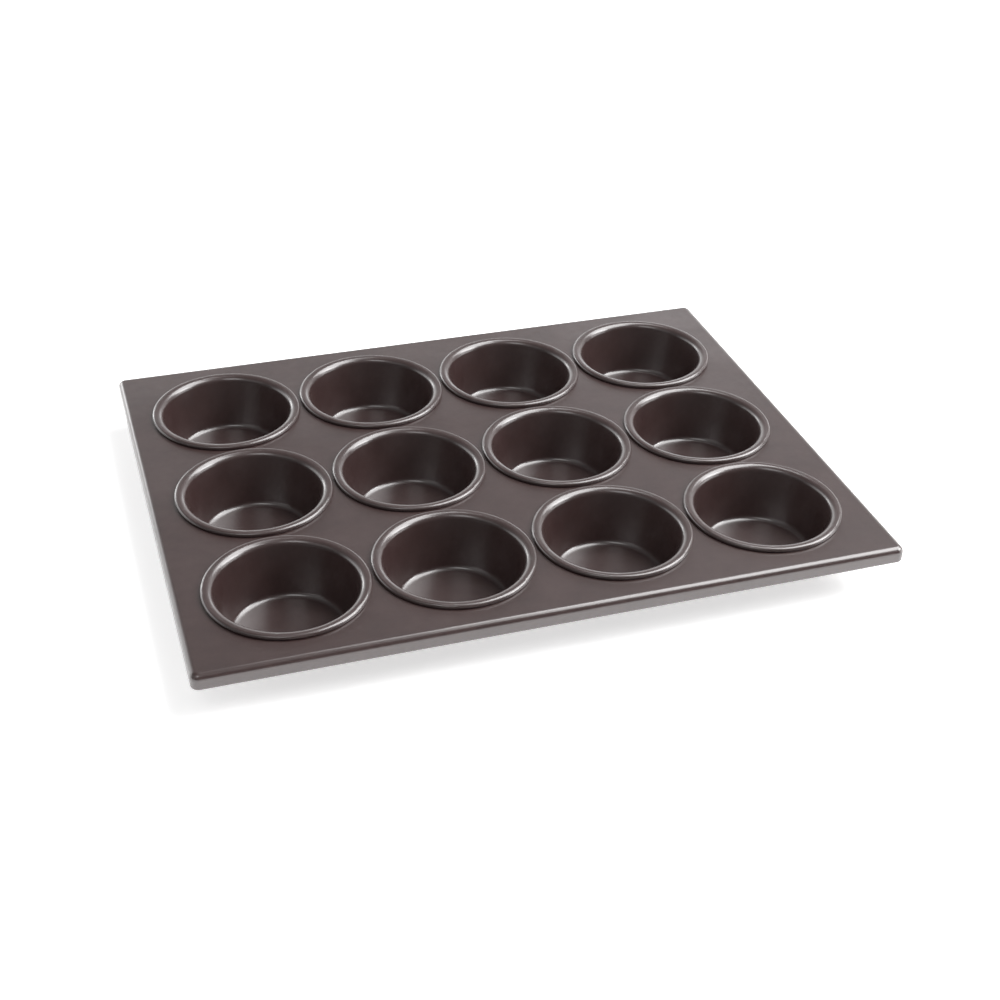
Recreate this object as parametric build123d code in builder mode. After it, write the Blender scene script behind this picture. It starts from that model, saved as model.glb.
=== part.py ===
from build123d import *
import os

os.makedirs("parts", exist_ok=True)

# A muffin tin with twelve cups, in millimetres. The deck is one flat sheet with a hole for each
# cup, and its four edges are folded down and curled around a stiffening wire. Each cup is pressed
# on its own, and its rim is seamed over the lip of its hole.
# The origin is on the ground under the middle of the tin, which stands on the floors of its cups.
# +X runs along the long side, +Y towards the back and +Z up.

# Driving dimensions
tin_length = 355.0
tin_depth = 275.0
tin_height = 30.0
sheet = 0.75
pitch_x = 82.5
pitch_y = 84.0
columns = 4
row_names = ("front", "middle", "back")

# Bent sheets are drawn along the middle of their thickness, and their bends are measured there
middle = sheet / 2

# Cup: the radii at which its wall would meet the floor and the top of the seam
cup_floor_radius = 28.9
cup_mouth_radius = 35.6
floor_bend = 3.4
mouth_bend = 3.2

# Seam: three thicknesses of sheet. A hair of straight is left between the bends that close it.
cup_seam_radius = 40.5
seam_height = 3 * sheet
hem_bend = middle + 0.05
bead_bend = seam_height - sheet - hem_bend - 0.02
hem_end_radius = 38.45
lip_bend = (seam_height - sheet) / 2 - 0.01
lip_root_radius = 39.8
lip_turn_radius = 37.47
lip_end_radius = cup_seam_radius - middle - bead_bend - 0.05
deck_hole_radius = 38.6

# Rim: the skirt folded down from the deck, and the curl at its foot
rim_height = 8.6
rim_bend = 2.8
rim_root = 3.8
wire_radius = 1.0
curl_radius = wire_radius + middle
curl_bend = curl_radius - 0.05
curl_end = 1.0
corner_radius = 4.0
deck_inset = 3.4

deck_top = tin_height - seam_height
rim_foot = deck_top - rim_height
wire_inset = middle + curl_radius
wire_height = rim_foot + wire_inset


def cup_centres():
    """The name and the centre of each cup, from the left of the front row to the right of the back."""
    centres = {}
    for row, row_name in enumerate(row_names):
        for column in range(columns):
            x = (column - (columns - 1) / 2) * pitch_x
            y = (row - (len(row_names) - 1) / 2) * pitch_y
            centres[f"cup_{row_name}_{column + 1}"] = (x, y)
    return centres


def cup_plane(x, y):
    """The upright plane through a cup's axis: its own x is a radius and its own y a height."""
    return Plane(origin=(x, y, 0), x_dir=(1, 0, 0), z_dir=(0, -1, 0))


def rim_plane(inset, height):
    """The upright plane across the middle of the front rim: its own x runs inwards, its own y up."""
    return Plane(origin=(0, inset - tin_depth / 2, height), x_dir=(0, 1, 0), z_dir=(1, 0, 0))


def half_loop(inset, height):
    """Half of the way round the rim, from the middle of the front to the middle of the back."""
    side = tin_length / 2 - inset
    end = tin_depth / 2 - inset
    with BuildLine(Plane.XY.offset(height)) as loop:
        FilletPolyline((0, -end), (side, -end), (side, end), (0, end), radius=corner_radius - inset)
    return loop.wires()[0]


def bent_sheet(points, bends):
    """The section of a bent sheet, whose middle runs along the points."""
    with BuildSketch() as section:
        with BuildLine():
            FilletPolyline(*points, radius=bends)
        trace(line_width=sheet)
    return section.sketch


def cup_section():
    """A cup from the middle of its floor, up its wall, over the lip of its hole and back under it."""
    points = [
        (0, middle),
        (cup_floor_radius, middle),
        (cup_mouth_radius, tin_height - middle),
        (cup_seam_radius - middle, tin_height - middle),
        (cup_seam_radius - middle, deck_top + middle),
        (hem_end_radius, deck_top + middle),
    ]
    return bent_sheet(points, [floor_bend, mouth_bend, bead_bend, hem_bend])


def lip_section():
    """The edge of a hole in the deck, turned up and back over itself to hold the rim of the cup."""
    points = [
        (lip_root_radius, deck_top - middle),
        (lip_turn_radius, deck_top - middle),
        (lip_turn_radius, tin_height - sheet - middle),
        (lip_end_radius, tin_height - sheet - middle),
    ]
    return bent_sheet(points, [lip_bend, lip_bend])


def rim_section():
    """The rim from the deck over its bend, down the skirt and all round the wire at its foot."""
    points = [
        (rim_root, deck_top - middle),
        (middle, deck_top - middle),
        (middle, wire_height - curl_radius),
        (wire_inset + curl_radius, wire_height - curl_radius),
        (wire_inset + curl_radius, wire_height + curl_radius),
        (curl_end, wire_height + curl_radius),
    ]
    return bent_sheet(points, [rim_bend, curl_bend, curl_bend, curl_bend])


# Deck sheet
with BuildPart() as deck_sheet:
    with BuildSketch(Plane.XY.offset(deck_top - sheet)):
        flat_length = tin_length - 2 * deck_inset
        flat_depth = tin_depth - 2 * deck_inset
        RectangleRounded(flat_length, flat_depth, corner_radius - deck_inset)
        with GridLocations(pitch_x, pitch_y, columns, len(row_names)):
            Circle(deck_hole_radius, mode=Mode.SUBTRACT)
    extrude(amount=sheet)
    with BuildSketch(rim_plane(0, 0)):
        add(rim_section())
    sweep(path=half_loop(0, 0))
    mirror(about=Plane.YZ)
    for x, y in cup_centres().values():
        with BuildSketch(cup_plane(x, y)):
            add(lip_section())
        revolve(axis=Axis((x, y, 0), (0, 0, 1)))
deck_sheet.part.label = "deck_sheet"
export_step(deck_sheet.part, "parts/deck_sheet.step")

# Rim wire
with BuildPart() as rim_wire:
    with BuildSketch(rim_plane(wire_inset, wire_height)):
        Circle(wire_radius)
    sweep(path=half_loop(wire_inset, wire_height))
    mirror(about=Plane.YZ)
rim_wire.part.label = "rim_wire"
export_step(rim_wire.part, "parts/rim_wire.step")

# Cups
for name, (x, y) in cup_centres().items():
    with BuildPart() as cup:
        with BuildSketch(cup_plane(x, y)):
            add(cup_section())
        revolve(axis=Axis((x, y, 0), (0, 0, 1)))
    cup.part.label = name
    export_step(cup.part, f"parts/{name}.step")
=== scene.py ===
import math

import bpy
from mathutils import Matrix, Vector

# A muffin tin on a pale studio floor, in metres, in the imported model's frame: +X along the long
# side, +Y towards the back, +Z up, with the ground at z = 0.
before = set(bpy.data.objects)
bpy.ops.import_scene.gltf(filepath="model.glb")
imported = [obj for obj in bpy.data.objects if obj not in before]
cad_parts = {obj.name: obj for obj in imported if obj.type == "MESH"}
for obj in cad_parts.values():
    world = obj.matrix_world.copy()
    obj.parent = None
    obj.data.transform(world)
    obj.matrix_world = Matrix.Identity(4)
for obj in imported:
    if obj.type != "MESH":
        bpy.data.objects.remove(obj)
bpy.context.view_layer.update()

scene = bpy.context.scene
scene.view_settings.view_transform = "Standard"

CUPS = sorted(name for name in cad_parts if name.startswith("cup_"))
DECK = "deck_sheet"
WIRE = "rim_wire"

# Camera: its direction from the target in degrees, round from the front towards +X and up
CAMERA_AZIMUTH = -18.58
CAMERA_ELEVATION = 33.87
CAMERA_ROLL = 1.547
CAMERA_DISTANCE = 0.8174
CAMERA_TARGET = (-0.0043, -0.0417, 0.0282)
LENS_MM = 57.27
SENSOR_MM = 36.0

# Floor: a tenth of a millimetre under the ground, so that no two faces coincide
FLOOR_HALF = 6.0
FLOOR_LEVEL = -0.0001
FLOOR_GREY = 0.86
FLOOR_GLOW = 0.62

# Softboxes: each one's azimuth from +X towards +Y and its elevation, in degrees, its width and
# height, its radiance, and its colour
WHITE = (1, 1, 1)
COOL = (0.94, 0.97, 1.0)
SOFTBOX_DISTANCE = 2.0
SOFTBOXES = {
    "key": (2, 56, (1.85, 1.4), 6.5, WHITE),
    "side": (-14, 33, (1.2, 0.5), 9.5, WHITE),
    "low_right": (-18, 8, (1.2, 0.4), 3.8, WHITE),
    "top_right": (60, 66, (0.6, 0.5), 3.6, WHITE),
    "left_fill": (203, 36, (1.2, 0.9), 0.35, WHITE),
    "front_fill": (238, 54, (0.8, 0.7), 2.6, WHITE),
    "back_right": (61, 15, (0.45, 0.45), 1.4, COOL),
    "back_left": (116, 12, (0.5, 0.4), 4.4, WHITE),
}

# Walls of the studio: the backdrop's light, and what the camera sees of them
BACKDROP_LIGHT = 1.6
SEEN_WHITE = 0.97

# Coating: how sharp and how strong its clear film's gloss is, and the height where a seam's crown
# begins and that of its top
FILM_ROUGHNESS = 0.24
FILM_IOR = 1.8
CROWN_FOOT = 0.0293
CROWN_TOP = 0.0300
WORN_BROWN = (0.050, 0.037, 0.034, 1)

# Sockets of a Mix node in its colour mode
MIX_FACTOR, MIX_FIRST, MIX_SECOND, MIX_RESULT = 0, 6, 7, 2


# Camera -------------------------------------------------------------------------------------------
def make_camera():
    """The studio camera: to the left of the tin and in front of it, looking down at the deck."""
    azimuth = math.radians(CAMERA_AZIMUTH)
    elevation = math.radians(CAMERA_ELEVATION)
    roll = math.radians(CAMERA_ROLL)
    back = Vector((
        math.sin(azimuth) * math.cos(elevation),
        -math.cos(azimuth) * math.cos(elevation),
        math.sin(elevation),
    ))
    right = Vector((0, 0, 1)).cross(back).normalized()
    up = back.cross(right)
    rolled_right = math.cos(roll) * right + math.sin(roll) * up
    rolled_up = math.cos(roll) * up - math.sin(roll) * right
    data = bpy.data.cameras.new("studio_camera")
    data.lens = LENS_MM
    data.sensor_width = SENSOR_MM
    data.clip_start = 0.01
    camera = bpy.data.objects.new("studio_camera", data)
    turn = Matrix((rolled_right, rolled_up, back)).transposed().to_4x4()
    camera.matrix_world = Matrix.Translation(Vector(CAMERA_TARGET) + back * CAMERA_DISTANCE) @ turn
    scene.collection.objects.link(camera)
    scene.camera = camera


# Stage --------------------------------------------------------------------------------------------
def make_floor():
    """A wide pale floor, with a faint glow that keeps the tin's shadow light."""
    mesh = bpy.data.meshes.new("floor")
    near, far, level = -FLOOR_HALF, FLOOR_HALF, FLOOR_LEVEL
    corners = [(near, near, level), (far, near, level), (far, far, level), (near, far, level)]
    mesh.from_pydata(corners, [], [(0, 1, 2, 3)])
    floor = bpy.data.objects.new("floor", mesh)
    scene.collection.objects.link(floor)
    paint = bpy.data.materials.new("floor_paint")
    paint.use_nodes = True
    shader = paint.node_tree.nodes["Principled BSDF"]
    shader.inputs["Base Color"].default_value = (FLOOR_GREY, FLOOR_GREY, FLOOR_GREY, 1)
    shader.inputs["Roughness"].default_value = 0.9
    shader.inputs["Specular IOR Level"].default_value = 0.1
    shader.inputs["Emission Color"].default_value = (1, 1, 1, 1)
    shader.inputs["Emission Strength"].default_value = FLOOR_GLOW
    mesh.materials.append(paint)


def make_softbox(name, azimuth, elevation, size, radiance, tint):
    """A rectangular softbox that looks at the tin, and that the camera doesn't see."""
    turn, tilt = math.radians(azimuth), math.radians(elevation)
    direction = Vector((
        math.cos(tilt) * math.cos(turn),
        math.cos(tilt) * math.sin(turn),
        math.sin(tilt),
    ))
    width, height = size
    data = bpy.data.lights.new(name, "AREA")
    data.shape = "RECTANGLE"
    data.size = width
    data.size_y = height
    data.energy = radiance * math.pi * width * height
    data.color = tint
    light = bpy.data.objects.new(name, data)
    light.location = direction * SOFTBOX_DISTANCE
    light.rotation_euler = direction.to_track_quat("Z", "Y").to_euler()
    light.visible_camera = False
    scene.collection.objects.link(light)


def smooth_range(tree, source, low, high, to_low=0.0, to_high=1.0):
    """A smooth step of a value: to_low at low and to_high at high."""
    step = tree.nodes.new("ShaderNodeMapRange")
    step.interpolation_type = "SMOOTHSTEP"
    step.inputs["From Min"].default_value = low
    step.inputs["From Max"].default_value = high
    step.inputs["To Min"].default_value = to_low
    step.inputs["To Max"].default_value = to_high
    tree.links.new(source, step.inputs["Value"])
    return step.outputs[0]


def multiply(tree, first, second):
    """The product of two values."""
    product = tree.nodes.new("ShaderNodeMath")
    product.operation = "MULTIPLY"
    tree.links.new(first, product.inputs[0])
    tree.links.new(second, product.inputs[1])
    return product.outputs[0]


def plain_background(tree, strength):
    """A white background of a given strength."""
    background = tree.nodes.new("ShaderNodeBackground")
    background.inputs["Color"].default_value = (1, 1, 1, 1)
    background.inputs["Strength"].default_value = strength
    return background


def make_world():
    """A studio: a bright backdrop low behind the tin, brightest to the left, and dim elsewhere."""
    world = bpy.data.worlds.new("studio")
    scene.world = world
    world.use_nodes = True
    tree = world.node_tree
    nodes, links = tree.nodes, tree.links
    nodes.clear()
    direction = nodes.new("ShaderNodeSeparateXYZ")
    links.new(nodes.new("ShaderNodeTexCoord").outputs["Generated"], direction.inputs[0])
    x, y, z = direction.outputs
    behind = smooth_range(tree, y, 0.0, 0.6)
    low_down = smooth_range(tree, z, 0.30, 0.52, 1.0, 0.0)
    to_the_left = smooth_range(tree, x, -0.1, 0.45, 1.0, 0.6)
    backdrop = multiply(tree, multiply(tree, behind, low_down), to_the_left)
    dim = smooth_range(tree, y, -0.6, 0.1, 0.11, 0.16)
    level = nodes.new("ShaderNodeMath")
    level.operation = "MULTIPLY_ADD"
    links.new(backdrop, level.inputs[0])
    level.inputs[1].default_value = BACKDROP_LIGHT
    links.new(dim, level.inputs[2])
    light = plain_background(tree, 1.0)
    links.new(level.outputs[0], light.inputs["Strength"])
    seen = plain_background(tree, SEEN_WHITE)
    mix = nodes.new("ShaderNodeMixShader")
    links.new(nodes.new("ShaderNodeLightPath").outputs["Is Camera Ray"], mix.inputs[0])
    links.new(light.outputs[0], mix.inputs[1])
    links.new(seen.outputs[0], mix.inputs[2])
    links.new(mix.outputs[0], nodes.new("ShaderNodeOutputWorld").inputs[0])


# Materials ----------------------------------------------------------------------------------------
def noise(tree, place, scale, detail=2.0, roughness=0.5):
    """A noise value from 0 to 1. The scale is in features per metre."""
    field = tree.nodes.new("ShaderNodeTexNoise")
    field.inputs["Scale"].default_value = scale
    field.inputs["Detail"].default_value = detail
    field.inputs["Roughness"].default_value = roughness
    tree.links.new(place, field.inputs["Vector"])
    return field.outputs["Fac"]


def colour_ramp(tree, source, stops):
    """A colour ramp over a value, from (position, colour) stops."""
    ramp = tree.nodes.new("ShaderNodeValToRGB")
    ramp.color_ramp.elements[0].position = stops[0][0]
    ramp.color_ramp.elements[0].color = stops[0][1]
    ramp.color_ramp.elements[1].position = stops[-1][0]
    ramp.color_ramp.elements[1].color = stops[-1][1]
    for position, colour in stops[1:-1]:
        ramp.color_ramp.elements.new(position).color = colour
    tree.links.new(source, ramp.inputs[0])
    return ramp.outputs[0]


def bump(tree, height, distance, strength, below=None):
    """A bump from a height value, with the distance in metres, laid over another one if given."""
    node = tree.nodes.new("ShaderNodeBump")
    node.inputs["Distance"].default_value = distance
    node.inputs["Strength"].default_value = strength
    tree.links.new(height, node.inputs["Height"])
    if below is not None:
        tree.links.new(below, node.inputs["Normal"])
    return node.outputs[0]


def coating_material():
    """Dark brown non-stick coating: a faintly mottled, hazy base under a satin film with a fine
    orange peel, rubbed paler in places along the crowns of the seams."""
    paint = bpy.data.materials.new("nonstick_coating")
    paint.use_nodes = True
    tree = paint.node_tree
    nodes, links = tree.nodes, tree.links
    shader = nodes["Principled BSDF"]
    shader.inputs["Specular IOR Level"].default_value = 0.3
    shader.inputs["Coat Weight"].default_value = 1.0
    shader.inputs["Coat IOR"].default_value = FILM_IOR
    shader.inputs["Coat Roughness"].default_value = FILM_ROUGHNESS
    place = nodes.new("ShaderNodeTexCoord").outputs["Object"]
    mottle = noise(tree, place, scale=55.0, detail=4.0, roughness=0.6)
    colour = colour_ramp(tree, mottle, [
        (0.30, (0.0320, 0.0158, 0.0148, 1)),
        (0.50, (0.0390, 0.0198, 0.0186, 1)),
        (0.72, (0.0465, 0.0253, 0.0240, 1)),
    ])
    split = nodes.new("ShaderNodeSeparateXYZ")
    links.new(place, split.inputs[0])
    crown = smooth_range(tree, split.outputs["Z"], CROWN_FOOT, CROWN_TOP)
    patches = smooth_range(tree, noise(tree, place, scale=120.0, detail=5.0, roughness=0.65), 0.52, 0.72)
    worn = nodes.new("ShaderNodeMix")
    worn.data_type = "RGBA"
    links.new(multiply(tree, crown, patches), worn.inputs[MIX_FACTOR])
    links.new(colour, worn.inputs[MIX_FIRST])
    worn.inputs[MIX_SECOND].default_value = WORN_BROWN
    links.new(worn.outputs[MIX_RESULT], shader.inputs["Base Color"])
    dullness = noise(tree, place, scale=140.0, detail=3.0, roughness=0.6)
    haze = smooth_range(tree, dullness, 0.3, 0.7, to_low=0.42, to_high=0.50)
    links.new(haze, shader.inputs["Roughness"])
    waves = bump(tree, noise(tree, place, scale=16.0, detail=1.0), distance=0.0016, strength=0.35)
    grain = noise(tree, place, scale=1500.0)
    peel = bump(tree, grain, distance=0.00004, strength=0.2, below=waves)
    links.new(peel, shader.inputs["Normal"])
    links.new(peel, shader.inputs["Coat Normal"])
    return paint


def wire_material():
    """Plain drawn steel wire, with faint dull patches."""
    steel = bpy.data.materials.new("steel_wire")
    steel.use_nodes = True
    tree = steel.node_tree
    shader = tree.nodes["Principled BSDF"]
    shader.inputs["Metallic"].default_value = 1.0
    place = tree.nodes.new("ShaderNodeTexCoord").outputs["Object"]
    tarnish = noise(tree, place, scale=90.0, detail=4.0, roughness=0.6)
    colour = colour_ramp(tree, tarnish, [(0.35, (0.42, 0.41, 0.40, 1)), (0.65, (0.56, 0.56, 0.57, 1))])
    tree.links.new(colour, shader.inputs["Base Color"])
    dull = smooth_range(tree, tarnish, 0.3, 0.7, to_low=0.45, to_high=0.30)
    tree.links.new(dull, shader.inputs["Roughness"])
    return steel


def dress(name, material):
    """Gives a CAD node its material."""
    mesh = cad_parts[name].data
    mesh.materials.clear()
    mesh.materials.append(material)


make_camera()
make_floor()
make_world()
for name, settings in SOFTBOXES.items():
    make_softbox(name, *settings)

coating = coating_material()
for name in CUPS + [DECK]:
    dress(name, coating)
dress(WIRE, wire_material())
